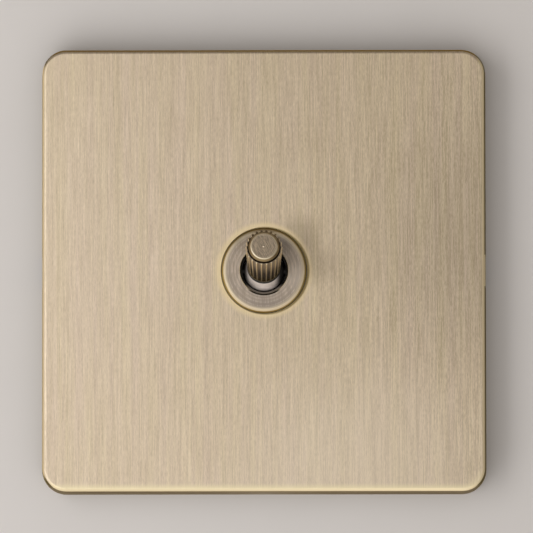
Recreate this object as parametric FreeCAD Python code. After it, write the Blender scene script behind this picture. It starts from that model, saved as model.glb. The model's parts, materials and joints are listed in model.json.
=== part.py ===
import FreeCAD, Part
import math
import os

os.makedirs("parts", exist_ok=True)

# Brass dolly switch on a screwless plate.
# Millimetres, +Z up. The wall is the plane Y = 0, the plate faces -Y, and the origin lies
# midway between the two fixing screws. The mechanism reaches behind the wall, towards +Y.

Vec = FreeCAD.Vector
ORIGIN = Vec(0, 0, 0)
X_AXIS = Vec(1, 0, 0)
Y_AXIS = Vec(0, 1, 0)
Z_AXIS = Vec(0, 0, 1)

# Running clearances
pin_clearance = 0.04        # pivot pin in the ball, plunger in the stem, rocker on its bead
fit_clearance = 0.05        # fixed pieces that slide together
contact_gap = 0.06          # between the plunger's tip and its trough, and between the contacts

# Fixing screws of a one-gang wall box; frame and plate are laid out from their centres
fixing_centres = 60.3
fixing_radius = 1.75
fixing_length = 20.0        # under the head
fixing_waist_radius = 1.4   # plain neck under the head, which keeps the screw captive in its slot
fixing_waist_over = 0.5     # how far the waist reaches behind the wall plane
fixing_point = 0.5          # chamfer at the tip
fixing_head_radius = 3.3
fixing_head_height = 1.7
driver_slot = 0.8           # width of the screwdriver slot in every slotted head

# Front plate
plate_overhang = 7.0        # past the frame's edge, so the plate is 86 mm square
plate_depth = 6.5
plate_sheet = 1.0
plate_corner = 4.6
plate_edge_round = 0.8
plate_flare = 2.0           # degrees that the skirt leans outwards
plate_hole_gap = 0.16       # round the collar
notch_width = 6.1
notch_depth = 3.0

# Liner behind the plate's rim, with its clip lugs
liner_thickness = 1.6
lug_width = 9.0
lug_thickness = 1.2
lug_inset = 14.0            # from the frame's corner to a lug's middle
nib_radius = 0.6

# Mounting frame
frame_border = 5.85         # from a fixing screw's centre to the frame's edge
frame_height = 3.4
frame_sheet = 1.2
frame_corner = 3.0
slot_clearance = 0.2        # round the screw, across the slot
slot_travel = 2.2           # how far the frame can be levelled on its screws

# Neck, flange and the rings on it
neck_radius = 6.0
neck_wall = 1.75
neck_recess = 0.85          # from the collar's face down to the neck's end
flange_thickness = 1.3
spigot_wall = 0.95
spigot_length = 1.4
washer_thickness = 0.5
washer_width = 1.6
washer_teeth = 16
tooth_depth = 0.5
nut_thickness = 1.7
nut_wall = 0.8              # from the neck to a flat

# Collar
collar_radius = 8.22
collar_proud = 1.3
collar_round = 0.8
collar_hole = 4.63
collar_lip = 0.75
collar_hole_chamfer = 0.12

# Ball, stem and cross pin, measured from the ball's centre along the lever
ball_radius = 3.9
ball_below_plate = 1.6      # from the plate's face down to the ball's centre
pin_radius = 0.8
seat_radius = 1.95
seat_reach = 3.6
stud_radius = 1.5
stud_reach = 9.5
stem_radius = 2.1
stem_reach = 11.0
stem_bore = 1.3
stem_bore_floor = 4.6

# Grip
grip_foot = 2.8             # from the ball's centre to the grip's lower edge
grip_foot_radius = 3.2
grip_top_radius = 3.55
grip_foot_chamfer = 0.15
grip_foot_rim = 0.35        # plain rim below the flutes
grip_skirt = 0.1            # clearance of the hollow foot round the ball
grip_shoulder = 15.05       # from the ball's centre to the shoulder round the boss
grip_bevel = 0.18
groove_radius = 3.3         # outer edge of the groove round the boss
groove_depth = 0.35
boss_radius = 2.98
boss_height = 0.6
boss_flat_radius = 2.42
pip_radius = 0.25           # turning pip left in the middle of the boss
pip_height = 0.08
flute_count = 22
flute_radius = 0.42
flute_depth = 0.34

# Plunger and its spring
tip_radius = stem_bore - pin_clearance
tip_reach = 13.0            # from the ball's centre to the centre of the round tip
plunger_tail = 9.6
plunger_travel = 0.6
spring_wire = 0.2           # radius over the corners of the wire
spring_wire_sides = 8
spring_coil_clearance = 0.08
spring_pitch = 1.15

# Throw of the lever and of the rocker, each side of the middle
lever_throw = 14.0
rocker_throw = 8.0

# Rocker
rocker_width = 4.4
cradle_floor = 2.4          # from the rocking axis to the bottom of the trough
cradle_half_length = 4.8
trough_half_length = 4.0
strip_thickness = 0.8
strip_half_length = 6.6
bead_radius = 0.8
bump_wall = 0.6
tip_offset = 5.5            # from the rocking axis to each silver tip
silver_radius = 1.0
silver_sink = 0.4

# Contact legs and pillar terminals
leg_thickness = 0.8
web_thickness = 1.0
fixed_contact_radius = 1.2
fixed_contact_height = 0.5
pillar_width = 7.0
pillar_span = 5.6
pillar_height = 6.8
wire_bore = 1.6
wire_bore_depth = 2.8       # from the cover's back to the bore's centre
clamp_radius = 1.25
clamp_head_radius = 1.9
clamp_head_height = 1.3
clamp_backed_off = 1.4

# Moulded body and cover
wall_side = 2.9
wall_end = 2.4
wall_front = 1.8
cavity_half_width = 5.6
leg_room = 0.9              # between a contact leg and the end wall
cover_front = 17.0
cover_thickness = 2.5
rib_thickness = 1.1
rib_height = 6.0
rib_gap = 0.3               # between a barrier rib and the pillar beside it
rivet_radius = 0.75
rivet_head_radius = 1.25
rivet_head_height = 0.5
body_corner = 1.2

# Earth terminal on the mounting frame
earth_inset = 9.0           # from the frame's lower edge to the pillar's middle
earth_pillar_height = 9.0
earth_bore_depth = 5.2      # from the frame's back to the bore's centre, clear of the frame's rim

# Places worked out from the sizes above
frame_size = fixing_centres + 2 * frame_border
plate_size = frame_size + 2 * plate_overhang
lug_offset = frame_size / 2 - lug_inset
earth_height = earth_inset - frame_size / 2
plate_face = -plate_depth
plate_back = plate_face + plate_sheet
collar_face = plate_face - collar_proud
pivot = Vec(0, plate_face + ball_below_plate, 0)
frame_face = -frame_height
frame_back = frame_face + frame_sheet
washer_face = frame_face - washer_thickness
nut_face = washer_face - nut_thickness
neck_end = collar_face + neck_recess
flange_back = frame_back + flange_thickness
cavity_front = flange_back + wall_front
spigot_back = flange_back + spigot_length
cover_back = cover_front + cover_thickness
neck_bore = neck_radius - neck_wall
spigot_radius = neck_bore + spigot_wall
washer_radius = neck_radius + washer_width
nut_across_flats = 2 * (neck_radius + nut_wall)
terminal_pitch = pillar_span + rib_thickness + 2 * rib_gap
cavity_half_length = terminal_pitch + leg_thickness / 2 + leg_room
body_half_width = cavity_half_width + wall_side
body_half_length = cavity_half_length + wall_end
plate_hole = collar_radius + plate_hole_gap
throw = math.radians(lever_throw)
tilt = math.radians(rocker_throw)
rocking_axis = Vec(0, pivot.y + tip_reach + tip_radius + contact_gap + cradle_floor, 0)


def rounded_rectangle(half_x, half_z, corner, y):
    """Closed wire in the plane at depth y, its corners rounded by arcs."""
    diagonal = corner * math.sqrt(0.5)
    edges = []
    quarter_turns = [(1, 1), (-1, 1), (-1, -1), (1, -1)]
    ends = []
    for sx, sz in quarter_turns:
        centre = Vec(sx * (half_x - corner), y, sz * (half_z - corner))
        on_x_side = centre + Vec(sx * corner, 0, 0)
        on_z_side = centre + Vec(0, 0, sz * corner)
        middle = centre + Vec(sx * diagonal, 0, sz * diagonal)
        first, last = (on_x_side, on_z_side) if sx == sz else (on_z_side, on_x_side)
        ends.append((first, last))
        edges.append((Part.Arc(first, middle, last).toShape(), last))
    outline = []
    for i, (arc, last) in enumerate(edges):
        outline.append(arc)
        outline.append(Part.LineSegment(last, ends[(i + 1) % 4][0]).toShape())
    return Part.Wire(outline)


def slab(half_x, half_z, corner, y_front, y_back):
    """Rounded rectangular block between two depths."""
    face = Part.Face(rounded_rectangle(half_x, half_z, corner, y_front))
    return face.extrude(Vec(0, y_back - y_front, 0))


def box(x0, x1, y0, y1, z0, z1):
    return Part.makeBox(x1 - x0, y1 - y0, z1 - z0, Vec(x0, y0, z0))


def rod(radius, y_front, y_back, x=0.0, z=0.0):
    """Cylinder along Y between two depths."""
    return Part.makeCylinder(radius, y_back - y_front, Vec(x, y_front, z), Y_AXIS)


def cross_rod(radius, x0, x1, y, z):
    """Cylinder along X."""
    return Part.makeCylinder(radius, x1 - x0, Vec(x0, y, z), X_AXIS)


def turned(points):
    """Solid of revolution about the lever's axis: each point is (radius, reach).

    A point given as a triple (radius, reach, "arc") is the middle of an arc between its neighbours.
    """
    places = [Vec(p[0], 0, p[1]) for p in points]
    is_middle = [len(p) == 3 for p in points]
    edges = []
    i = 0
    while i < len(places) - 1:
        if is_middle[i + 1]:
            edges.append(Part.Arc(places[i], places[i + 1], places[i + 2]).toShape())
            i += 2
        else:
            edges.append(Part.LineSegment(places[i], places[i + 1]).toShape())
            i += 1
    edges.append(Part.LineSegment(places[-1], places[0]).toShape())
    face = Part.Face(Part.Wire(edges))
    return face.revolve(ORIGIN, Z_AXIS, 360)


def turned_on_y(points):
    """The same for a profile whose second number is a depth along Y."""
    shape = turned(points)
    shape.rotate(ORIGIN, X_AXIS, -90)
    return shape


def on_lever(shape):
    """Takes a shape built along +Z from the origin to the lever at rest, with the grip up."""
    shape.rotate(ORIGIN, X_AXIS, 90 - lever_throw)
    shape.translate(pivot)
    return shape


def on_rocker(shape):
    """Takes a shape built about the origin, facing -Y, to the rocker's rest position."""
    shape.rotate(ORIGIN, X_AXIS, rocker_throw)
    shape.translate(rocking_axis)
    return shape


def solids_of(shape):
    """The bare solid, or a compound where the node has several."""
    found = shape.Solids
    return found[0] if len(found) == 1 else Part.makeCompound(found)


def save(name, shape):
    solids_of(shape).exportStep("parts/" + name + ".step")


def front_plate():
    """Pressed tray: flat face, leaning skirt, collar hole and a pry notch in each side."""
    lean = plate_depth * math.tan(math.radians(plate_flare))
    half = plate_size / 2
    outer = Part.makeLoft([rounded_rectangle(half, half, plate_corner, plate_face),
                           rounded_rectangle(half + lean, half + lean, plate_corner + lean, 0)],
                          True, True)
    front_edges = [e for e in outer.Edges
                   if all(abs(v.Point.y - plate_face) < 1e-6 for v in e.Vertexes)]
    outer = outer.makeFillet(plate_edge_round, front_edges)
    inner_half = half - plate_sheet
    inner_corner = plate_corner - plate_sheet
    drop = lean * plate_sheet / plate_depth
    back_half = inner_half + drop
    open_half = inner_half + lean
    inner = Part.makeLoft([rounded_rectangle(back_half, back_half, inner_corner + drop, plate_back),
                           rounded_rectangle(open_half, open_half, inner_corner + lean, 0)],
                          True, True)
    notch = box(-plate_size, plate_size, -notch_depth, plate_depth, -notch_width / 2, notch_width / 2)
    return outer.cut([inner, rod(plate_hole, plate_face - 1, 0), notch])


def plate_liner():
    """Square moulded frame inside the skirt, with two clip lugs on the upper and lower sides."""
    outer_half = plate_size / 2 - plate_sheet - fit_clearance
    inner_half = frame_size / 2 + fit_clearance
    front = plate_back
    back = plate_back + liner_thickness
    ring = slab(outer_half, outer_half, plate_corner - plate_sheet, front, back)
    ring = ring.cut(slab(inner_half, inner_half, frame_corner, front - 1, back + 1))
    pieces = []
    nib_depth = frame_face + frame_height / 2
    for sz in (1, -1):
        for sx in (1, -1):
            x = sx * lug_offset
            z0, z1 = sorted((sz * inner_half, sz * (inner_half + lug_thickness)))
            pieces.append(box(x - lug_width / 2, x + lug_width / 2, back - 0.2, -0.3, z0, z1))
            nib_z = sz * inner_half
            nib = cross_rod(nib_radius, x - lug_width / 3, x + lug_width / 3, nib_depth, nib_z)
            pieces.append(nib)
    return ring.fuse(pieces).removeSplitter()


def mounting_frame():
    """Pressed steel tray, open to the wall, with levelling slots, the neck hole and lug windows."""
    half = frame_size / 2
    outer = slab(half, half, frame_corner, frame_face, 0)
    front_edges = [e for e in outer.Edges
                   if all(abs(v.Point.y - frame_face) < 1e-6 for v in e.Vertexes)]
    outer = outer.makeFillet(frame_sheet, front_edges)
    inner_half = half - frame_sheet
    inner = slab(inner_half, inner_half, frame_corner - frame_sheet, frame_back, 1)
    cuts = [inner, rod(neck_radius + fit_clearance, frame_face - 1, 1)]
    slot_half_width = fixing_radius + slot_clearance
    for sx in (1, -1):
        x = sx * fixing_centres / 2
        cuts.append(slab_at(x, slot_half_width, slot_half_width + slot_travel / 2))
    window_depth = nib_radius + fit_clearance
    nib_depth = frame_face + frame_height / 2
    for sz in (1, -1):
        for sx in (1, -1):
            x = sx * lug_offset
            reach = lug_width / 3 + fit_clearance
            cuts.append(box(x - reach, x + reach, nib_depth - window_depth, nib_depth + window_depth,
                            min(sz * (half - frame_sheet - 1), sz * (half + 1)),
                            max(sz * (half - frame_sheet - 1), sz * (half + 1))))
    cuts.append(rod(rivet_radius, frame_face - 1, 1, 0, earth_height))
    return outer.cut(cuts)


def slab_at(x, half_x, half_z):
    """Cutter for a round-ended levelling slot at x, through the frame's sheet."""
    shape = slab(half_x, half_z, half_x * 0.999, frame_face - 1, 1)
    shape.translate(Vec(x, 0, 0))
    return shape


def slotted_head(radius, height, y_face, x, z):
    """Cheese head with a chamfered rim: its top is at y_face, and it has a driver slot."""
    head = rod(radius, y_face, y_face + height, x, z)
    rim = [e for e in head.Edges if all(abs(v.Point.y - y_face) < 1e-6 for v in e.Vertexes)]
    head = head.makeChamfer(height * 0.3, rim)
    slot = box(x - radius, x + radius, y_face - 1, y_face + height * 0.5,
               z - driver_slot / 2, z + driver_slot / 2)
    return head.cut(slot)


def fixing_screws():
    """Two captive screws through the frame's slots, standing out behind the wall plane."""
    tip = frame_face + fixing_length
    screws = []
    for sx in (1, -1):
        x = sx * fixing_centres / 2
        head = slotted_head(fixing_head_radius, fixing_head_height, frame_face - fixing_head_height, x, 0)
        waist = rod(fixing_waist_radius, frame_face, fixing_waist_over, x, 0)
        thread = rod(fixing_radius, fixing_waist_over, tip, x, 0)
        end = [e for e in thread.Edges if all(abs(v.Point.y - tip) < 1e-6 for v in e.Vertexes)]
        thread = thread.makeChamfer(fixing_point, end)
        screws.append(head.fuse([waist, thread]).removeSplitter())
    return Part.makeCompound(screws)


def threaded_bush():
    """Die-cast neck with its rectangular flange, rear spigot and the holes for pin and rivets."""
    neck = rod(neck_radius, neck_end, frame_back)
    flange = slab(body_half_width, body_half_length, body_corner, frame_back, flange_back)
    spigot = rod(spigot_radius, flange_back, spigot_back)
    bush = neck.fuse([flange, spigot]).removeSplitter()
    cuts = [rod(neck_bore, neck_end - 1, spigot_back + 1),
            cross_rod(pin_radius, -neck_radius - 1, neck_radius + 1, pivot.y, 0)]
    for x, z in rivet_places():
        cuts.append(rod(rivet_radius, frame_back - 1, flange_back + 1, x, z))
    return bush.cut(cuts)


def rivet_places():
    """The four corners of the flange, body and cover that the long rivets pass through."""
    x = cavity_half_width + wall_side / 2
    z = cavity_half_length + wall_end / 2
    return [(x, z), (-x, z), (-x, -z), (x, -z)]


def lock_washer():
    """Shakeproof washer with outer teeth."""
    washer = rod(washer_radius, washer_face, frame_face).cut(
        rod(neck_radius + fit_clearance, washer_face - 1, frame_face + 1))
    notches = []
    for i in range(washer_teeth):
        a = 2 * math.pi * i / washer_teeth
        notch = box(-tooth_depth, tooth_depth, washer_face - 1, frame_face + 1,
                    washer_radius - tooth_depth, washer_radius + 1)
        notch.rotate(ORIGIN, Y_AXIS, math.degrees(a))
        notches.append(notch)
    return washer.cut(notches)


def lock_nut():
    """Thin hexagonal nut on the neck, with its corners turned off at the front."""
    corner = nut_across_flats / math.sqrt(3)
    points = [Vec(corner * math.cos(math.radians(60 * i)), nut_face, corner * math.sin(math.radians(60 * i)))
              for i in range(7)]
    hexagon = Part.Face(Part.makePolygon(points)).extrude(Vec(0, nut_thickness, 0))
    flat = nut_across_flats / 2
    blank = turned_on_y([(0, nut_face), (flat, nut_face), (corner + 0.01, nut_face + (corner - flat) * 0.6),
                         (corner + 0.01, washer_face), (0, washer_face)])
    return hexagon.common(blank).cut(rod(neck_radius + fit_clearance, nut_face - 1, washer_face + 1))


def bezel_ring():
    """Turned collar: threaded skirt on the neck, thin lip over its end, rounded rim."""
    bore = neck_radius + fit_clearance
    r = collar_round
    bend = r * (1 - math.sqrt(0.5))
    lip_back = collar_face + collar_lip
    return turned_on_y([(collar_hole + collar_hole_chamfer, collar_face),
                        (collar_radius - r, collar_face),
                        (collar_radius - bend, collar_face + bend, "arc"),
                        (collar_radius, collar_face + r),
                        (collar_radius, nut_face),
                        (bore, nut_face),
                        (bore, lip_back),
                        (collar_hole, lip_back),
                        (collar_hole, collar_face + collar_hole_chamfer)])


def pivot_pin():
    """Cross pin, pressed into the neck and held in by the nut round it."""
    return cross_rod(pin_radius, -neck_radius, neck_radius, pivot.y, 0)


def pivot_ball():
    """Ball with the seat and stud for the grip in front and the hollow stem behind."""
    ball = Part.makeSphere(ball_radius)
    seat = Part.makeCylinder(seat_radius, seat_reach, ORIGIN, Z_AXIS)
    stud = Part.makeCylinder(stud_radius, stud_reach, ORIGIN, Z_AXIS)
    stem = Part.makeCylinder(stem_radius, stem_reach, ORIGIN, -Z_AXIS)
    bore = Part.makeCylinder(stem_bore, stem_reach, Vec(0, 0, -stem_bore_floor), -Z_AXIS)
    cross = cross_rod(pin_radius + pin_clearance, -ball_radius - 1, ball_radius + 1, 0, 0)
    whole = ball.fuse([seat, stud, stem]).removeSplitter().cut([bore, cross])
    return on_lever(whole)


def dolly_grip():
    """Turned grip: tapered fluted barrel on a hollow foot, grooved shoulder, bevelled boss with a pip, stud hole."""
    hole = stud_radius + fit_clearance
    slope = (grip_top_radius - grip_foot_radius) / (grip_shoulder - grip_foot)
    band = boss_radius - boss_flat_radius
    skirt = math.sqrt(ball_radius ** 2 - grip_foot ** 2) + grip_skirt
    blank = turned([(hole, seat_reach),
                    (seat_radius + grip_skirt, seat_reach),
                    (skirt, grip_foot),
                    (grip_foot_radius - grip_foot_chamfer, grip_foot),
                    (grip_foot_radius, grip_foot + grip_foot_chamfer),
                    (grip_top_radius, grip_shoulder - grip_bevel),
                    (grip_top_radius - grip_bevel, grip_shoulder),
                    (groove_radius, grip_shoulder),
                    (groove_radius, grip_shoulder - groove_depth),
                    (boss_radius, grip_shoulder - groove_depth),
                    (boss_radius, grip_shoulder + boss_height * 0.1),
                    (boss_flat_radius + band * 0.3, grip_shoulder + boss_height * 0.85),
                    (boss_flat_radius + band * 0.18, grip_shoulder + boss_height * 0.96, "arc"),
                    (boss_flat_radius, grip_shoulder + boss_height),
                    (pip_radius, grip_shoulder + boss_height),
                    (0, grip_shoulder + boss_height + pip_height),
                    (0, stud_reach + fit_clearance),
                    (hole, stud_reach + fit_clearance)])
    run = grip_shoulder - grip_foot - grip_foot_rim
    start_radius = grip_foot_radius + slope * grip_foot_rim - flute_depth + flute_radius
    start = Vec(start_radius, 0, grip_foot + grip_foot_rim)
    flute = Part.makeCylinder(flute_radius, run + boss_height, start, Vec(slope, 0, 1))
    flutes = []
    for i in range(flute_count):
        copy = flute.copy()
        copy.rotate(ORIGIN, Z_AXIS, 360.0 * (i + 0.5) / flute_count - 90.0 + 180.0 / flute_count)
        flutes.append(copy)
    return on_lever(blank.cut(flutes))


def plunger():
    """Sliding follower with a round tip and a spigot that centres the spring."""
    shank = Part.makeCylinder(tip_radius, tip_reach - plunger_tail, Vec(0, 0, -tip_reach), Z_AXIS)
    tip = Part.makeSphere(tip_radius, Vec(0, 0, -tip_reach))
    return on_lever(shank.fuse(tip).removeSplitter())


def plunger_spring():
    """Coil spring between the floor of the stem's bore and the plunger."""
    coil = stem_bore - spring_coil_clearance - spring_wire
    length = plunger_tail - plunger_travel - stem_bore_floor - 2 * spring_wire - 2 * contact_gap
    path = Part.makeHelix(spring_pitch, length, coil)
    corners = []
    for i in range(spring_wire_sides + 1):
        a = 2 * math.pi * (i + 0.5) / spring_wire_sides
        corners.append(Vec(coil + spring_wire * math.cos(a), 0, spring_wire * math.sin(a)))
    wire = Part.Wire(path.Edges).makePipeShell([Part.makePolygon(corners)], True, True)
    wire.translate(Vec(0, 0, -stem_bore_floor - contact_gap - spring_wire - length))
    return on_lever(wire)


def trough_radius_and_centre():
    """Arc that the plunger's tip follows in the rocker, from the two throws."""
    drop = rocking_axis.y - pivot.y
    y = tip_reach * math.cos(throw) - drop
    z = -tip_reach * math.sin(throw)
    end_depth = -(y * math.cos(tilt) + z * math.sin(tilt))
    end_offset = abs(-y * math.sin(tilt) + z * math.cos(tilt))
    middle_depth = drop - tip_reach
    rise = end_depth - middle_depth
    path_radius = (end_offset ** 2 + rise ** 2) / (2 * rise)
    return path_radius + tip_radius + contact_gap, middle_depth + path_radius


def rocker_cradle():
    """Moulded trough that the plunger's tip pushes over, relieved for the strip's bump."""
    radius, centre = trough_radius_and_centre()
    horn = centre - math.sqrt(radius ** 2 - trough_half_length ** 2)
    half = rocker_width / 2
    block = box(-half, half, -horn, -strip_thickness, -cradle_half_length, cradle_half_length)
    trough = Part.makeCylinder(radius, rocker_width + 2, Vec(-half - 1, -centre, 0), X_AXIS)
    bump = Part.makeCylinder(bead_radius + pin_clearance + bump_wall, rocker_width + 2,
                             Vec(-half - 1, 0, 0), X_AXIS)
    shape = block.cut([trough, bump])
    return on_rocker(shape)


def rocker_contact():
    """Contact strip with a half-round bump that rides on the common terminal's bead."""
    half = rocker_width / 2
    groove_radius = bead_radius + pin_clearance
    strip = box(-half, half, -strip_thickness, 0, -strip_half_length, strip_half_length)
    bump = Part.makeCylinder(groove_radius + bump_wall, rocker_width, Vec(-half, 0, 0), X_AXIS)
    bump = bump.common(box(-half, half, -neck_radius, 0, -neck_radius, neck_radius))
    groove = Part.makeCylinder(groove_radius, rocker_width + 2, Vec(-half - 1, 0, 0), X_AXIS)
    return on_rocker(strip.fuse(bump).cut(groove).removeSplitter())


def moving_contacts():
    """Two silver domes under the ends of the strip."""
    domes = []
    for sz in (1, -1):
        z = sz * tip_offset
        dome = Part.makeSphere(silver_radius, Vec(0, -silver_sink, z))
        domes.append(dome.common(box(-silver_radius, silver_radius, 0, silver_radius,
                                     z - silver_radius, z + silver_radius)))
    return on_rocker(Part.makeCompound(domes))


def fixed_contact_place():
    """Depth of the fixed contacts' faces and their height, from the rocker at the end of its throw."""
    y = -silver_sink * math.cos(tilt) + tip_offset * math.sin(tilt)
    z = silver_sink * math.sin(tilt) + tip_offset * math.cos(tilt)
    return rocking_axis.y + y + silver_radius + contact_gap, z


def fixed_contacts():
    """Two silver rivets on the L1 and L2 legs."""
    face, height = fixed_contact_place()
    return Part.makeCompound([rod(fixed_contact_radius, face, face + fixed_contact_height, 0, sz * height)
                              for sz in (1, -1)])


def pillar(z, back):
    """Terminal block standing on the depth back, with its wire bore and its clamp screw's hole."""
    half = pillar_width / 2
    block = slab(half, pillar_span / 2, 0.5, back, back + pillar_height)
    block.translate(Vec(0, 0, z))
    bore = cross_rod(wire_bore, -half - 1, half + 1, back + wire_bore_depth, z)
    thread = rod(clamp_radius + fit_clearance, back + wire_bore_depth, back + pillar_height + 1, 0, z)
    return block.cut([bore, thread])


def com_terminal():
    """Common terminal: knife web with the rocking bead on its edge, and its pillar."""
    half = rocker_width / 2
    bead = cross_rod(bead_radius, -half, half, rocking_axis.y, 0)
    web = box(-half, half, rocking_axis.y, cover_back, -web_thickness / 2, web_thickness / 2)
    return pillar(0, cover_back).fuse([bead, web]).removeSplitter()


def line_terminal(side):
    """L1 (side +1, above) or L2 (side -1, below): bent leg under the rocker's tip, and its pillar."""
    face, height = fixed_contact_place()
    half = rocker_width / 2
    top = face + fixed_contact_height
    leg_outer = terminal_pitch + leg_thickness / 2
    inner_end = height - fixed_contact_radius
    foot = box(-half, half, top, top + leg_thickness,
               min(side * inner_end, side * leg_outer), max(side * inner_end, side * leg_outer))
    leg = box(-half, half, top, cover_back,
              min(side * (leg_outer - leg_thickness), side * leg_outer),
              max(side * (leg_outer - leg_thickness), side * leg_outer))
    return pillar(side * terminal_pitch, cover_back).fuse([foot, leg]).removeSplitter()


def clamp_screw(z, bore_centre, pillar_top):
    """Slotted clamp screw as supplied: backed off, so the wire bore is free."""
    under_head = pillar_top + clamp_backed_off
    tip = bore_centre + wire_bore + fit_clearance
    shank = rod(clamp_radius, tip, under_head, 0, z)
    head = slotted_head(clamp_head_radius, clamp_head_height, -clamp_head_height, 0, 0)
    head.rotate(ORIGIN, X_AXIS, 180)
    head.translate(Vec(0, under_head, z))
    return shank.fuse(head).removeSplitter()


def terminal_screws():
    """The three clamp screws of the switch's own terminals."""
    top = cover_back + pillar_height
    bore_centre = cover_back + wire_bore_depth
    return Part.makeCompound([clamp_screw(z, bore_centre, top) for z in (terminal_pitch, 0, -terminal_pitch)])


def switch_body():
    """Moulded box round the mechanism, open at the back."""
    shell = slab(body_half_width, body_half_length, body_corner, flange_back, cover_front)
    cuts = [slab(cavity_half_width, cavity_half_length, body_corner, cavity_front, cover_front + 1),
            rod(spigot_radius + fit_clearance, flange_back - 1, cavity_front + 1)]
    for x, z in rivet_places():
        cuts.append(rod(rivet_radius, flange_back - 1, cover_front + 1, x, z))
    return shell.cut(cuts)


def switch_cover():
    """Moulded back: slots for the three legs and barrier ribs between the pillars."""
    plate = slab(body_half_width, body_half_length, body_corner, cover_front, cover_back)
    ribs = []
    for sz in (1, -1):
        z = sz * terminal_pitch / 2
        ribs.append(box(-body_half_width, body_half_width, cover_front + 1, cover_back + rib_height,
                        z - rib_thickness / 2, z + rib_thickness / 2))
    half = rocker_width / 2 + fit_clearance
    cuts = []
    for z, thickness in ((0, web_thickness), (terminal_pitch, leg_thickness), (-terminal_pitch, leg_thickness)):
        reach = thickness / 2 + fit_clearance
        cuts.append(box(-half, half, cover_front - 1, cover_back + 1, z - reach, z + reach))
    for x, z in rivet_places():
        cuts.append(rod(rivet_radius, cover_front - 1, cover_back + 1, x, z))
    return plate.fuse(ribs).removeSplitter().cut(cuts)


def body_rivets():
    """Four long rivets, flush in the flange and headed over on the cover's back."""
    rivets = []
    for x, z in rivet_places():
        shank = rod(rivet_radius, frame_back, cover_back, x, z)
        head = rod(rivet_head_radius, cover_back, cover_back + rivet_head_height, x, z)
        rivets.append(shank.fuse(head).removeSplitter())
    return Part.makeCompound(rivets)


def earth_terminal():
    """Earth pillar on the back of the frame, riveted through its sheet."""
    half = pillar_width / 2
    block = slab(half, pillar_span / 2, 0.5, frame_back, frame_back + earth_pillar_height)
    block.translate(Vec(0, 0, earth_height))
    bore_centre = frame_back + earth_bore_depth
    bore = cross_rod(wire_bore, -half - 1, half + 1, bore_centre, earth_height)
    thread = rod(clamp_radius + fit_clearance, bore_centre,
                 frame_back + earth_pillar_height + 1, 0, earth_height)
    rivet = rod(rivet_radius, frame_face, frame_back, 0, earth_height)
    return block.cut([bore, thread]).fuse(rivet)


def earth_screw():
    """Clamp screw of the earth pillar, backed off like the others."""
    return clamp_screw(earth_height, frame_back + earth_bore_depth, frame_back + earth_pillar_height)


save("front_plate", front_plate())
save("plate_liner", plate_liner())
save("mounting_frame", mounting_frame())
save("fixing_screws", fixing_screws())
save("threaded_bush", threaded_bush())
save("lock_washer", lock_washer())
save("lock_nut", lock_nut())
save("bezel_ring", bezel_ring())
save("pivot_pin", pivot_pin())
save("pivot_ball", pivot_ball())
save("dolly_grip", dolly_grip())
save("plunger", plunger())
save("plunger_spring", plunger_spring())
save("rocker_cradle", rocker_cradle())
save("rocker_contact", rocker_contact())
save("moving_contacts", moving_contacts())
save("fixed_contacts", fixed_contacts())
save("com_terminal", com_terminal())
save("l1_terminal", line_terminal(1))
save("l2_terminal", line_terminal(-1))
save("terminal_screws", terminal_screws())
save("switch_body", switch_body())
save("switch_cover", switch_cover())
save("body_rivets", body_rivets())
save("earth_terminal", earth_terminal())
save("earth_screw", earth_screw())
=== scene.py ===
import json
import math

import bpy
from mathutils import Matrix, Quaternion, Vector


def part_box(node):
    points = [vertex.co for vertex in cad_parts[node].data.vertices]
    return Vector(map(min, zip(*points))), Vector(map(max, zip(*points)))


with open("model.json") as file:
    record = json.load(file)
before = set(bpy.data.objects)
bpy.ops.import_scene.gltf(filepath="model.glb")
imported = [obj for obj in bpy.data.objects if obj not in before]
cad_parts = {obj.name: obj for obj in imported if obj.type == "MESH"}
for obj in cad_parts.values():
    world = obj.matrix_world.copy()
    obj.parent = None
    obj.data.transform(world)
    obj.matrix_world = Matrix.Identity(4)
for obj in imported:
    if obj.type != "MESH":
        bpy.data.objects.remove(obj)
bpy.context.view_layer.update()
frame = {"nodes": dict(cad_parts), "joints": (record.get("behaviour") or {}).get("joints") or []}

MM = 0.001
NODES = frame["nodes"]
JOINTS = {joint["name"]: joint for joint in frame["joints"]}

# Places read from the frame: the wall is Y = 0, the plate faces -Y and the plunger slides along the lever
PLATE_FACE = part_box("front_plate")[0].y
COLLAR_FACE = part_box("bezel_ring")[0].y
PIVOT = Vector(JOINTS["lever_toggle"]["pos_m"])
LEVER_AXIS = Vector(JOINTS["plunger_slide"]["axis"]).normalized()

# Where one finish gives way to the next: two radii, heights or distances along the lever, in mm
PLATE_TOP = (41.5, 42.2)
PLATE_BOTTOM = (-41.5, -42.2)
PLATE_HOLE = (8.44, 8.39)
COLLAR_RIM = (7.50, 7.62)
COLLAR_EDGE = (7.84, 7.96)
COLLAR_LIP = (4.86, 4.78)
BOSS_RISE = (15.06, 15.13)
BOSS_EDGE = (2.30, 2.38)
BOSS_BEVEL = (2.60, 2.68)
BOSS_PIP = (0.22, 0.12)

# Noise scales, in cells per metre
COLLAR_RINGS = 4000.0
BOSS_RINGS = 5200.0
BALL_RINGS = 3500.0
METAL_GRAIN = 1400
PLASTIC_GRAIN = 3200

# Colours of the brass, and of painted light and shade on it
SHADE_BLACK = (0.0, 0.0, 0.0)
REFLECTED_GOLD = (0.90, 0.74, 0.46)
SHADOW_OLIVE = (0.26, 0.19, 0.075)
SHADOW_UMBER = (0.16, 0.12, 0.06)
GLANCING = (0.95, 0.81, 0.56, 1.0)     # brass stays yellow where it is seen edge-on

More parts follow.
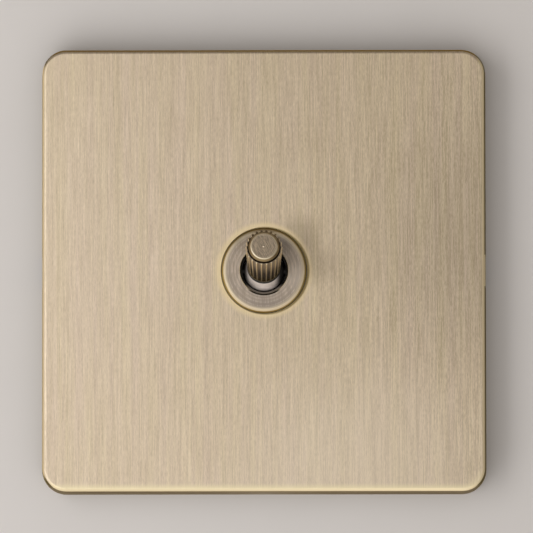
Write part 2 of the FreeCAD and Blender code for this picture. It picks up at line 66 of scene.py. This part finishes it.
# Soft round marks: x and z of the middle (mm), reach (mm), strength and colour
PLATE_LIGHT_AND_SHADE = (
    (50, 6, 38, 0.16, SHADE_BLACK),                       # painted shade on the middle of the right side
    (18, -42, 34, 0.30, (0.98, 0.85, 0.68)),        # painted light low down
    (7.2, 7.0, 5.2, 0.30, SHADOW_UMBER),                   # painted shadow of the lever and collar, above and right of the collar
    # painted shadow right of the collar
    (11.0, 0.5, 4.6, 0.12, SHADOW_UMBER),
)
COLLAR_SHADOW_AND_MARKS = (
    (3.3, 5.9, 4.0, 0.55, (0.12, 0.10, 0.08)),      # painted shadow of the lever at the upper right
    (6.2, -1.2, 3.4, 0.35, (0.72, 0.62, 0.52)),     # paler at the right
    (0.5, -6.6, 5.0, 0.20, (0.22, 0.195, 0.18)),    # greyer low down
)
# Painted shadow and reflection of the lever on the collar's face
LEVER_SHADOW_ON_COLLAR = (
    (0.0, 7.9, 4.2, 0.65, (0.33, 0.235, 0.11)),
    (-4.0, 6.0, 3.4, 0.30, (0.22, 0.17, 0.10)),
)


# Node helpers

class Tree:
    """A material's nodes, with short calls that link as they add."""

    def __init__(self, name):
        self.material = bpy.data.materials.new(name)
        self.material.use_nodes = True
        self.nodes = self.material.node_tree.nodes
        self.links = self.material.node_tree.links
        self.nodes.clear()
        self.output = self.nodes.new("ShaderNodeOutputMaterial")
        self.place = self.nodes.new("ShaderNodeTexCoord").outputs["Object"]

    def link(self, value, socket):
        """Links a socket, or sets a constant."""
        if isinstance(value, bpy.types.NodeSocket):
            self.links.new(value, socket)
        else:
            socket.default_value = value

    def math(self, kind, a, b=0.0):
        node = self.nodes.new("ShaderNodeMath")
        node.operation = kind
        for value, socket in zip((a, b), node.inputs):
            self.link(value, socket)
        return node.outputs[0]

    def plus(self, a, b):
        return self.math("ADD", a, b)

    def minus(self, a, b):
        return self.math("SUBTRACT", a, b)

    def times(self, a, b):
        return self.math("MULTIPLY", a, b)

    def larger(self, a, b):
        return self.math("MAXIMUM", a, b)

    def absolute(self, a):
        return self.math("ABSOLUTE", a)

    def vector(self, kind, a, b=(0, 0, 0), scale=1.0):
        node = self.nodes.new("ShaderNodeVectorMath")
        node.operation = kind
        self.link(a, node.inputs[0])
        self.link(b, node.inputs[1])
        if kind == "SCALE":
            self.link(scale, node.inputs["Scale"])
        gives_number = kind in ("DOT_PRODUCT", "LENGTH", "DISTANCE")
        return node.outputs["Value" if gives_number else "Vector"]

    def axes(self, vector=None):
        node = self.nodes.new("ShaderNodeSeparateXYZ")
        self.links.new(vector or self.place, node.inputs[0])
        return node.outputs

    def join(self, x, y, z):
        node = self.nodes.new("ShaderNodeCombineXYZ")
        for value, socket in zip((x, y, z), node.inputs):
            self.link(value, socket)
        return node.outputs[0]

    def off_axis(self, x, z):
        """Distance from the line along Y through the plate's middle."""
        return self.vector("LENGTH", self.join(x, 0.0, z))

    def noise(self, vector, detail, roughness):
        node = self.nodes.new("ShaderNodeTexNoise")
        node.inputs["Scale"].default_value = 1.0
        node.inputs["Detail"].default_value = detail
        node.inputs["Roughness"].default_value = roughness
        self.links.new(vector, node.inputs["Vector"])
        return node.outputs["Fac"]

    def stretched(self, scale, detail, roughness):
        """Noise in object space with its own scale, per metre, along each axis."""
        return self.noise(self.vector("MULTIPLY", self.place, scale), detail, roughness)

    def even(self, scale, detail, roughness):
        """Noise in object space with one scale, per metre."""
        return self.stretched((scale, scale, scale), detail, roughness)

    def ramp(self, value, low, high, out_low=0.0, out_high=1.0, smooth=True):
        node = self.nodes.new("ShaderNodeMapRange")
        node.interpolation_type = "SMOOTHSTEP" if smooth else "LINEAR"
        self.link(value, node.inputs[0])
        for number, socket in zip((low, high, out_low, out_high), node.inputs[1:5]):
            self.link(number, socket)
        return node.outputs[0]

    def ramp_mm(self, value, low, high, out_low=0.0, out_high=1.0, smooth=True):
        """A ramp over a length, from low to high in millimetres."""
        return self.ramp(value, low * MM, high * MM, out_low, out_high, smooth)

    def roughness(self, noise, dull, glossy):
        """Roughness that follows a noise, from dull in its lows to glossy in its highs."""
        return self.ramp(noise, 0.3, 0.7, dull, glossy)

    def mix(self, share, a, b, kind="MIX"):
        node = self.nodes.new("ShaderNodeMix")
        node.data_type = "RGBA"
        node.blend_type = kind
        self.link(share, node.inputs[0])
        self.link(rgb(a), node.inputs[6])
        self.link(rgb(b), node.inputs[7])
        return node.outputs[2]

    def tint(self, color, factor):
        return self.mix(1.0, color, factor, "MULTIPLY")

    def marked(self, color, marks):
        """Lays soft round marks on a colour, each seen along Y; most are painted light or shade."""
        for x, z, reach, strength, tone in marks:
            place_x, _, place_z = self.axes()
            away = self.vector("DISTANCE", self.join(place_x, 0.0, place_z), (x * MM, 0.0, z * MM))
            share = self.ramp_mm(away, reach, 0.2 * reach, 0.0, strength)
            color = self.mix(share, color, tone)
        return color

    def bump(self, height, strength, distance):
        node = self.nodes.new("ShaderNodeBump")
        node.inputs["Strength"].default_value = strength
        node.inputs["Distance"].default_value = distance
        self.links.new(height, node.inputs["Height"])
        return node.outputs[0]

    def shader(self, color, roughness, normal=None, **constants):
        node = self.nodes.new("ShaderNodeBsdfPrincipled")
        self.link(rgb(color), node.inputs["Base Color"])
        self.link(roughness, node.inputs["Roughness"])
        if normal is not None:
            self.links.new(normal, node.inputs["Normal"])
        for name, value in constants.items():
            node.inputs[name.replace("_", " ")].default_value = value
        self.links.new(node.outputs[0], self.output.inputs[0])
        return node

    def brush_upright(self, shader):
        """Stretches the reflection across upright brush marks."""
        tangent = self.nodes.new("ShaderNodeTangent")
        tangent.direction_type = "RADIAL"
        tangent.axis = "Z"
        self.links.new(tangent.outputs[0], shader.inputs["Tangent"])


def rgb(color):
    """A colour as Blender wants it; sockets pass through."""
    return color if isinstance(color, bpy.types.NodeSocket) else (*color, 1.0)


# Front plate

def plate_brushing(t):
    """The brush marks as one tone about 0.5, and the finest of them alone."""
    fine = t.stretched((6400, 6400, 150), 4.0, 0.7)
    flecks = t.stretched((8000, 8000, 1000), 3.0, 0.65)
    broad = t.stretched((1500, 1500, 18), 3.0, 0.6)
    bands = t.times(t.minus(broad, 0.5), t.ramp_mm(t.axes()["Z"], 36, -36, 0.135, 0.18))
    tone = t.plus(t.times(fine, 0.55), t.times(flecks, 0.45))
    return t.plus(tone, bands), fine


def plate_front(t, tone):
    """Colour of the front: pale strokes in a dull ground, painted light and shade across it, and a yellow
    painted highlight along the lower edge.
    """
    x, _, z = t.axes()
    # the strokes stand out more towards the right
    spread = t.ramp_mm(x, -43, 43, 0.160, 0.070, smooth=False)
    strokes = t.ramp(tone, t.minus(0.5, spread), t.plus(0.5, spread), smooth=False)
    color = t.mix(strokes, (0.610, 0.503, 0.374), (0.910, 0.776, 0.610))
    cloud = t.stretched((30, 30, 22), 2.0, 0.5)
    color = t.mix(t.ramp(cloud, 0.35, 0.70, 0.0, 0.12), color, (0.68, 0.55, 0.37))
    hue = t.stretched((560, 560, 20), 2.0, 0.6)
    hue = t.ramp(hue, 0.30, 0.70, smooth=False)
    color = t.tint(color, t.mix(hue, (1.00, 0.99, 1.02), (1.00, 1.01, 0.96)))
    # painted shade towards the top right, and soft marks of painted light and shade, with painted light low
    # down
    shade_to_top_right = t.ramp_mm(t.plus(x, t.times(z, 0.8)), -45, 45, smooth=False)
    color = t.tint(color, t.mix(shade_to_top_right, (1.02, 1.01, 1.00), (0.87, 0.85, 0.805)))
    color = t.marked(color, PLATE_LIGHT_AND_SHADE)
    # painted highlight along the lower edge and round the lower right corner
    lower_edge_highlight = t.ramp_mm(z, -41.1, -42.4, 0.0, 0.75)
    color = t.mix(lower_edge_highlight, color, (1.0, 0.88, 0.58))
    lower_right_highlight = t.ramp_mm(t.minus(x, z), 80.0, 83.3, 0.0, 0.75)
    return t.mix(lower_right_highlight, color, (1.0, 0.86, 0.58))


def plate_sides(t, fine, behind, upper, lower):
    """Colour of the sides: dark patina with painted shade, warmer on top and grey-brown below, and a
    painted highlight on the left near the face.
    """
    near_face = t.ramp_mm(behind, 1.0, 0.7)
    color = t.mix(t.ramp(fine, 0.35, 0.65), (0.085, 0.064, 0.022), (0.160, 0.124, 0.046))
    color = t.mix(t.times(upper, near_face), color, (0.245, 0.140, 0.0))
    color = t.mix(lower, color, (0.205, 0.165, 0.115))
    # painted highlight on the left side near the face, where the light comes from
    left_edge_highlight = t.times(t.ramp_mm(t.axes()["X"], -42.3, -42.9), near_face)
    return t.mix(left_edge_highlight, color, (0.92, 0.74, 0.42))


def brushed_plate():
    """Vertically brushed antique brass: upright scratches, sides of dark patina and painted shade, a
    painted gold reflection round the hole.
    """
    t = Tree("brushed_plate")
    x, y, z = t.axes()
    behind = t.minus(y, PLATE_FACE)
    tone, fine = plate_brushing(t)
    upper = t.ramp_mm(z, *PLATE_TOP)
    lower = t.ramp_mm(z, *PLATE_BOTTOM)
    # the rounding is worn bright and carries a painted highlight below and on the right, and faintly on the
    # left
    wear_and_highlight = t.larger(t.ramp_mm(z, -40.5, -42.0), t.ramp_mm(x, -40.5, -42.0, 0.0, 0.12))
    wear_and_highlight = t.larger(wear_and_highlight, t.ramp_mm(x, 41.0, 42.2, 0.0, 0.9))
    wear_and_highlight = t.times(wear_and_highlight, t.ramp_mm(behind, 0.003, 0.020))
    color = t.mix(wear_and_highlight, plate_front(t, tone), (0.97, 0.82, 0.54))
    # the dark sides, patina with painted shade, begin further forward on top and further back below, and
    # fade in front of the pry notch
    start = t.plus(t.times(upper, -0.08 * MM), t.times(lower, 0.09 * MM))
    start = t.plus(start, 0.14 * MM)
    dark = t.ramp(behind, start, t.plus(start, 0.22 * MM))
    pried = t.times(t.ramp_mm(x, 40, 41), t.ramp_mm(t.absolute(z), 3.15, 3.0))
    pried = t.times(pried, t.ramp_mm(behind, 1.1, 0.7, 0.0, 0.6))
    dark = t.times(dark, t.minus(1.0, pried))
    color = t.mix(dark, color, plate_sides(t, fine, behind, upper, lower))
    radius = t.off_axis(x, z)
    # painted reflection: the collar's lit side glows gold on the plate round the hole
    color = t.mix(t.ramp_mm(radius, 9.9, 8.5, 0.0, 0.9), color, REFLECTED_GOLD)
    # painted shadow of the collar in the corner round it, wider on the right
    collar_shadow = t.off_axis(t.minus(x, 0.30 * MM), t.plus(z, 0.04 * MM))
    color = t.mix(t.ramp_mm(collar_shadow, 8.70, 8.38, 0.0, 0.85), color, SHADOW_OLIVE)
    in_hole = t.ramp_mm(radius, *PLATE_HOLE)
    color = t.mix(in_hole, color, (0.46, 0.35, 0.15))
    normal = t.bump(tone, 0.30, 0.02 * MM)
    rough = t.roughness(tone, 0.42, 0.32)
    t.brush_upright(t.shader(color, rough, normal, Metallic=1.0, Anisotropic=0.85, Specular_Tint=GLANCING))
    return t.material


# Collar

def collar_face(t, radius, turning, hairs):
    """Colour of the collar's face: greyed brass, warmer blotches, a painted shadow of the lever and other
    soft marks, and a painted highlight spreading in from the rim.
    """
    color = t.mix(t.ramp(hairs, 0.32, 0.68), (0.42, 0.35, 0.285), (0.67, 0.57, 0.47))
    color = t.mix(t.ramp(turning, 0.41, 0.59, 0.0, 0.70), color, (0.365, 0.305, 0.252))
    blotch = t.even(900, 4.0, 0.6)
    color = t.mix(t.ramp(blotch, 0.40, 0.70, 0.0, 0.35), color, (0.46, 0.37, 0.28))
    color = t.marked(color, COLLAR_SHADOW_AND_MARKS)
    # warmer towards the rim, where the rim's painted highlight spreads in
    return t.mix(t.ramp_mm(radius, 7.00, 7.45, 0.0, 0.55), color, (0.72, 0.61, 0.44))


def turned_collar():
    """Faced brass collar: brushed and greyed face, rim worn bright with a painted highlight, olive flank,
    painted shade on the lip and bore, and a painted shadow of the lever.
    """
    t = Tree("turned_collar")
    x, y, z = t.axes()
    radius = t.off_axis(x, z)
    behind = t.minus(y, COLLAR_FACE)
    turning = t.noise(t.join(t.times(radius, COLLAR_RINGS), t.times(y, 200.0), 0.0), 3.0, 0.6)
    hairs = t.stretched((4200, 4200, 420), 4.0, 0.65)
    rim = t.ramp_mm(radius, *COLLAR_RIM)
    color = t.mix(rim, collar_face(t, radius, turning, hairs), (0.82, 0.70, 0.50))
    # the bright rim, worn and with a painted highlight, is wider low down, and the flank behind it stays
    # olive
    inward = t.minus(radius, t.ramp_mm(z, -2, -7, 0.0, 0.13 * MM))
    color = t.mix(t.ramp_mm(inward, *COLLAR_EDGE), color, (0.40, 0.30, 0.115))
    flank = t.ramp_mm(behind, 0.70, 0.95)
    color = t.mix(flank, color, (0.50, 0.38, 0.16))
    # the lip of the hole has a painted highlight above and painted shade below, where it is also wider
    low = t.ramp_mm(z, -3.2, -4.2)
    lip = t.ramp_mm(t.minus(radius, t.times(low, 0.10 * MM)), *COLLAR_LIP)
    color = t.mix(lip, color, t.mix(low, (0.78, 0.66, 0.46), (0.020, 0.017, 0.012)))
    # painted shade makes the bore near black higher up; low down it is painted pale as painted light, to
    # throw more light onto the ball
    bore = t.times(lip, t.ramp_mm(behind, 0.10, 0.16))
    bore_shade_and_light = t.mix(t.ramp_mm(z, -2.0, -3.6), (0.05, 0.04, 0.03), (0.90, 0.80, 0.66))
    color = t.mix(bore, color, bore_shade_and_light)
    # painted shadow and reflection of the lever, over the lever
    color = t.marked(color, LEVER_SHADOW_ON_COLLAR)
    normal = t.bump(t.plus(turning, hairs), 0.25, 0.02 * MM)
    rough = t.plus(t.roughness(turning, 0.42, 0.34), t.times(rim, 0.22))
    t.brush_upright(t.shader(color, rough, normal, Metallic=1.0, Anisotropic=0.6, Specular_Tint=GLANCING))
    return t.material


# Lever: grip and ball

def lever_places(t):
    """At rest: distance along the lever from the ball's centre, off its axis, and height over the axis."""
    offset = t.vector("SUBTRACT", t.place, tuple(PIVOT))
    reach = t.vector("DOT_PRODUCT", offset, tuple(LEVER_AXIS))
    foot = t.vector("SCALE", tuple(LEVER_AXIS), scale=reach)
    outward = t.vector("SUBTRACT", offset, foot)
    return reach, t.vector("LENGTH", outward), t.axes(outward)["Z"]


def grip_flutes(t, reach, radius, above, grain):
    """Colour of the flutes: bright ridges, valleys of dark patina, with painted shade growing towards the
    foot and in the groove round the boss.
    """
    crest = t.ramp_mm(reach, 2.8, 15.05, 3.20 * MM, 3.55 * MM, smooth=False)
    below = t.minus(crest, radius)
    ridge_tone = t.mix(t.ramp(grain, 0.35, 0.65), (0.76, 0.63, 0.41), (0.97, 0.83, 0.57))
    # the valleys hold dark patina, with painted shade deepening towards the foot
    valley_tone = t.mix(t.ramp_mm(reach, 6.0, 13.0), (0.12, 0.092, 0.064), (0.38, 0.32, 0.245))
    color = t.mix(t.ramp_mm(below, 0.05, 0.21), ridge_tone, valley_tone)
    deep_patina_and_shade = t.times(t.ramp_mm(below, 0.20, 0.34), t.ramp_mm(reach, 4.5, 12.0, 0.95, 0.25))
    color = t.mix(deep_patina_and_shade, color, (0.06, 0.045, 0.03))
    # painted shade at the foot, next to the ball
    foot = t.ramp_mm(reach, 4.6, 3.0, 0.0, 0.8)
    color = t.mix(foot, color, (0.11, 0.08, 0.035))
    # painted shade in the groove round the boss
    groove_shade = t.times(t.ramp_mm(radius, 3.25, 3.20), t.ramp_mm(reach, 14.40, 14.66))
    color = t.mix(groove_shade, color, (0.035, 0.022, 0.012))
    # the teeth over the boss are darker on the upper side
    teeth = t.times(t.ramp_mm(above, 0.6, 2.2), t.ramp_mm(reach, 14.2, 14.6, 0.0, 0.85))
    return t.mix(teeth, color, (0.26, 0.195, 0.110))


def grip_boss(t, radius, above, rings, pip):
    """Colour of the boss: scratched flat with a pip in its middle, painted highlight on its edge, bevel
    with painted shade below and painted light above.
    """
    x, _, z = t.axes()
    along = t.minus(z, t.times(x, 0.5))
    aside = t.plus(x, t.times(z, 0.5))
    scratches = t.noise(t.join(t.times(aside, 5600.0), 0.0, t.times(along, 560.0)), 3.0, 0.6)
    marks = t.plus(t.times(rings, 0.3), t.times(scratches, 0.7))
    color = t.mix(t.ramp(marks, 0.38, 0.62), (0.43, 0.345, 0.255), (0.82, 0.675, 0.505))
    color = t.mix(pip, color, (0.62, 0.53, 0.40))
    # painted highlight on the edge; the bevel has painted shade below and painted light above
    edge_highlight = t.ramp_mm(radius, *BOSS_EDGE)
    color = t.mix(edge_highlight, color, (0.80, 0.69, 0.50))
    bevel = t.ramp_mm(radius, *BOSS_BEVEL)
    bevel_light_and_shade = t.mix(t.ramp_mm(above, 0.8, 2.2), (0.30, 0.215, 0.110), (0.66, 0.55, 0.36))
    return t.mix(bevel, color, bevel_light_and_shade)


def fluted_grip():
    """Antique brass grip: worn bright ridges, dark patina in the flutes, painted shade at the foot and
    round the boss, a painted highlight on the boss.
    """
    t = Tree("fluted_grip")
    reach, radius, above = lever_places(t)
    grain = t.even(2600, 3.0, 0.6)
    rings = t.noise(t.join(t.times(radius, BOSS_RINGS), 0.0, 0.0), 2.0, 0.5)
    pip = t.ramp_mm(radius, *BOSS_PIP)
    on_boss = t.ramp_mm(reach, *BOSS_RISE)
    flutes = grip_flutes(t, reach, radius, above, grain)
    color = t.mix(on_boss, flutes, grip_boss(t, radius, above, rings, pip))
    normal = t.bump(t.plus(t.times(rings, 0.3), pip), 0.35, 0.03 * MM)
    t.shader(color, t.roughness(grain, 0.38, 0.30), normal, Metallic=1.0)
    return t.material


def satin_ball():
    """Pearl satin finish with faint turning marks, painted shade above its lowest part and at its sides,
    and a painted shadow next to the grip.
    """
    t = Tree("satin_ball")
    reach = lever_places(t)[0]
    x, _, z = t.axes()
    rings = t.noise(t.join(t.times(reach, BALL_RINGS), 0.0, 0.0), 2.0, 0.5)
    color = t.mix(t.ramp(rings, 0.3, 0.7), (0.82, 0.72, 0.66), (0.92, 0.825, 0.765))
    # painted shade above the lowest part, which the light from below reaches
    color = t.mix(t.ramp_mm(z, -3.5, -2.8, 0.0, 0.50), color, (0.25, 0.21, 0.17))
    # painted shade at the sides, where the hole shades the ball
    side = t.absolute(t.plus(x, 0.35 * MM))
    color = t.mix(t.ramp_mm(side, 2.3, 3.6), color, (0.028, 0.024, 0.021))
    # painted shadow in the gap under the grip's foot
    shadow_under_grip = t.ramp_mm(reach, 2.05, 2.22)
    color = t.mix(shadow_under_grip, color, (0.010, 0.009, 0.007))
    t.shader(color, t.roughness(rings, 0.42, 0.36), t.bump(rings, 0.1, 0.01 * MM), Metallic=0.40)
    return t.material


# Fittings behind the plate

def grained(name, dark, light):
    """A new tree with a fine metal grain, and the grain's colour."""
    t = Tree(name)
    grain = t.even(METAL_GRAIN, 4.0, 0.6)
    return t, grain, t.mix(t.ramp(grain, 0.35, 0.65), dark, light)


def finish_grained(t, grain, color, rough):
    """Shader for a grained metal; gives the finished material."""
    t.shader(color, t.roughness(grain, rough + 0.08, rough), t.bump(grain, 0.2, 0.02 * MM), Metallic=1.0)
    return t.material


def plain_metal(name, dark, light, rough):
    """Plated or drawn metal with a fine grain and faint stains."""
    t, grain, color = grained(name, dark, light)
    stain = t.even(180, 3.0, 0.55)
    color = t.mix(t.ramp(stain, 0.5, 0.8, 0.0, 0.4), color, [0.6 * c for c in dark])
    return finish_grained(t, grain, color, rough)


def cast_neck():
    """Dark die-cast neck with painted light on its ball seat low down, where it shows under the ball."""
    t, grain, color = grained("cast_neck", (0.018, 0.016, 0.014), (0.036, 0.033, 0.029))
    # painted light on the seat low down, where it shows under the ball
    lit_seat = t.ramp_mm(t.axes()["Z"], -2.6, -3.6)
    color = t.mix(lit_seat, color, (0.25, 0.215, 0.18))
    return finish_grained(t, grain, color, 0.50)


def moulding(name, dark, light, rough):
    """Moulded plastic with a fine spark-eroded texture."""
    t = Tree(name)
    grain = t.even(PLASTIC_GRAIN, 3.0, 0.6)
    cloud = t.even(120, 2.0, 0.5)
    color = t.mix(t.ramp(cloud, 0.3, 0.7), dark, light)
    normal = t.bump(grain, 0.2, 0.03 * MM)
    t.shader(color, t.roughness(grain, rough + 0.1, rough), normal, Specular_IOR_Level=0.45)
    return t.material


def dress_nodes():
    """Every CAD node gets its own procedural finish."""
    zinc = plain_metal("zinc_plate", (0.50, 0.50, 0.49), (0.66, 0.66, 0.64), 0.34)
    nickel = plain_metal("nickel_screw", (0.52, 0.50, 0.46), (0.70, 0.68, 0.63), 0.26)
    dark_steel = plain_metal("dark_steel", (0.030, 0.028, 0.026), (0.050, 0.047, 0.043), 0.50)
    brass = plain_metal("plain_brass", (0.62, 0.46, 0.20), (0.78, 0.60, 0.30), 0.28)
    silver = plain_metal("contact_silver", (0.76, 0.75, 0.72), (0.88, 0.87, 0.84), 0.22)
    copper = plain_metal("contact_copper", (0.62, 0.34, 0.20), (0.76, 0.44, 0.28), 0.30)
    spring = plain_metal("spring_wire", (0.34, 0.34, 0.34), (0.48, 0.48, 0.47), 0.25)
    black = moulding("black_moulding", (0.018, 0.018, 0.018), (0.030, 0.030, 0.030), 0.48)
    grey = moulding("grey_moulding", (0.58, 0.58, 0.56), (0.66, 0.66, 0.64), 0.42)
    finishes = {
        "front_plate": brushed_plate(),
        "bezel_ring": turned_collar(),
        "dolly_grip": fluted_grip(),
        "pivot_ball": satin_ball(),
        "plate_liner": black,
        "mounting_frame": zinc,
        "lock_washer": zinc,
        "lock_nut": brass,
        "fixing_screws": nickel,
        "terminal_screws": nickel,
        "earth_screw": nickel,
        "pivot_pin": dark_steel,
        "body_rivets": nickel,
        "threaded_bush": cast_neck(),
        "plunger": brass,
        "plunger_spring": spring,
        "rocker_cradle": grey,
        "rocker_contact": copper,
        "moving_contacts": silver,
        "fixed_contacts": silver,
        "com_terminal": brass,
        "l1_terminal": brass,
        "l2_terminal": brass,
        "earth_terminal": brass,
        "switch_body": grey,
        "switch_cover": grey,
    }
    for node, material in finishes.items():
        slots = NODES[node].data.materials
        slots.clear()
        slots.append(material)


# Stage, light and camera

def wall():
    """Pale wall with a box opening behind the plate. It is clear from behind, to show the fittings."""
    half_wall = 3.0
    half_opening = 0.0405
    around = ((-1, -1), (1, -1), (1, 1), (-1, 1))
    # four faces make a square ring between the wall's outline and the opening
    corners = [(x * half, 0, z * half) for half in (half_wall, half_opening) for x, z in around]
    sides = [(i, (i + 1) % 4, (i + 1) % 4 + 4, i + 4) for i in range(4)]
    mesh = bpy.data.meshes.new("wall")
    mesh.from_pydata(corners, [], sides)
    plane = bpy.data.objects.new("wall", mesh)
    bpy.context.scene.collection.objects.link(plane)
    t = Tree("wall_paint")
    mottle = t.even(60, 3.0, 0.5)
    color = t.mix(mottle, (0.745, 0.712, 0.690), (0.780, 0.746, 0.724))
    paint = t.shader(color, 0.9, Specular_IOR_Level=0.1)
    clear = t.nodes.new("ShaderNodeBsdfTransparent")
    behind = t.nodes.new("ShaderNodeNewGeometry").outputs["Backfacing"]
    blend = t.nodes.new("ShaderNodeMixShader")
    t.links.new(behind, blend.inputs[0])
    t.links.new(paint.outputs[0], blend.inputs[1])
    t.links.new(clear.outputs[0], blend.inputs[2])
    t.links.new(blend.outputs[0], t.output.inputs[0])
    mesh.materials.append(t.material)


def hang_lamp(light, place, aim=(0, 0, 0)):
    """Adds a lamp that the camera doesn't see, turned towards its aim."""
    lamp = bpy.data.objects.new(light.name, light)
    lamp.location = place
    lamp.rotation_euler = (Vector(aim) - Vector(place)).to_track_quat("-Z", "Y").to_euler()
    lamp.visible_camera = False
    bpy.context.scene.collection.objects.link(lamp)
    return lamp


def area_light(name, place, width, height, power):
    light = bpy.data.lights.new(name, "AREA")
    light.shape = "RECTANGLE"
    light.size = width
    light.size_y = height
    light.energy = power
    return hang_lamp(light, place)


def spot_light(name, place, aim, angle, power):
    light = bpy.data.lights.new(name, "SPOT")
    light.energy = power
    light.spot_size = angle
    light.spot_blend = 0.5
    light.shadow_soft_size = 0.01
    return hang_lamp(light, place, aim)


def sky():
    """Soft light from all round, brightest and least warm from the front and lower left."""
    world = bpy.data.worlds.new("studio")
    world.use_nodes = True
    nodes = world.node_tree.nodes
    links = world.node_tree.links
    facing = nodes.new("ShaderNodeVectorMath")
    facing.operation = "DOT_PRODUCT"
    facing.inputs[1].default_value = Vector((-0.40, -0.52, -0.74)).normalized()
    links.new(nodes.new("ShaderNodeTexCoord").outputs["Generated"], facing.inputs[0])
    glow = nodes.new("ShaderNodeMapRange")
    glow.interpolation_type = "SMOOTHSTEP"
    facing_low, facing_high, glow_low, glow_high = 0.10, 0.95, 0.29, 0.95
    for number, socket in zip((facing_low, facing_high, glow_low, glow_high), glow.inputs[1:5]):
        socket.default_value = number
    links.new(facing.outputs["Value"], glow.inputs[0])
    tint = nodes.new("ShaderNodeMix")
    tint.data_type = "RGBA"
    tint.inputs[6].default_value = (1.0, 0.932, 0.856, 1.0)
    tint.inputs[7].default_value = (1.0, 0.989, 0.972, 1.0)
    links.new(facing.outputs["Value"], tint.inputs[0])
    background = nodes["Background"]
    links.new(tint.outputs[2], background.inputs["Color"])
    links.new(glow.outputs[0], background.inputs["Strength"])
    bpy.context.scene.world = world


def lighting():
    """The sky, a key for the wall, a panel for the metal, a low spot for the ball and a fill behind."""
    sky()
    key = area_light("key", (-0.24, -0.25, -0.06), width=0.20, height=0.60, power=0.53)
    key.visible_glossy = False
    panel = area_light("panel", (-0.19, -0.28, 0.00), width=0.28, height=0.40, power=0.30)
    panel.visible_diffuse = False
    low_spot = spot_light("low_spot", (0, -0.30, -0.08), PIVOT, angle=math.radians(8.0), power=2.3)
    low_spot.visible_glossy = False
    area_light("back_fill", (0.6, 1.2, 0.5), width=0.8, height=0.8, power=10.0)


def camera():
    """Long lens from slightly below the plate's middle, as the photograph was taken."""
    view_below = math.radians(3.95)
    roll = math.radians(0.08)
    distance = 1.7
    pixels = 533
    pixels_per_mm = 5.150
    centre_px = (264.0, 270.55)
    sensor = 36.0
    back = Vector((0.0, -math.cos(view_below), -math.sin(view_below)))
    aim = Vector((0, PLATE_FACE, 0))
    aim.x += (pixels / 2 - centre_px[0]) / pixels_per_mm * MM
    aim.z += (centre_px[1] - pixels / 2) / pixels_per_mm * MM
    data = bpy.data.cameras.new("camera")
    data.sensor_width = sensor
    data.lens = sensor * distance / (pixels / pixels_per_mm * MM)
    data.clip_start = 0.1
    data.clip_end = 50.0
    rig = bpy.data.objects.new("camera", data)
    rig.location = aim + back * distance
    rig.rotation_mode = "QUATERNION"
    rig.rotation_quaternion = (-back).to_track_quat("-Z", "Y") @ Quaternion((0, 0, 1), -roll)
    bpy.context.scene.collection.objects.link(rig)
    bpy.context.scene.camera = rig


dress_nodes()
wall()
lighting()
camera()
bpy.context.scene.view_settings.view_transform = "Standard"
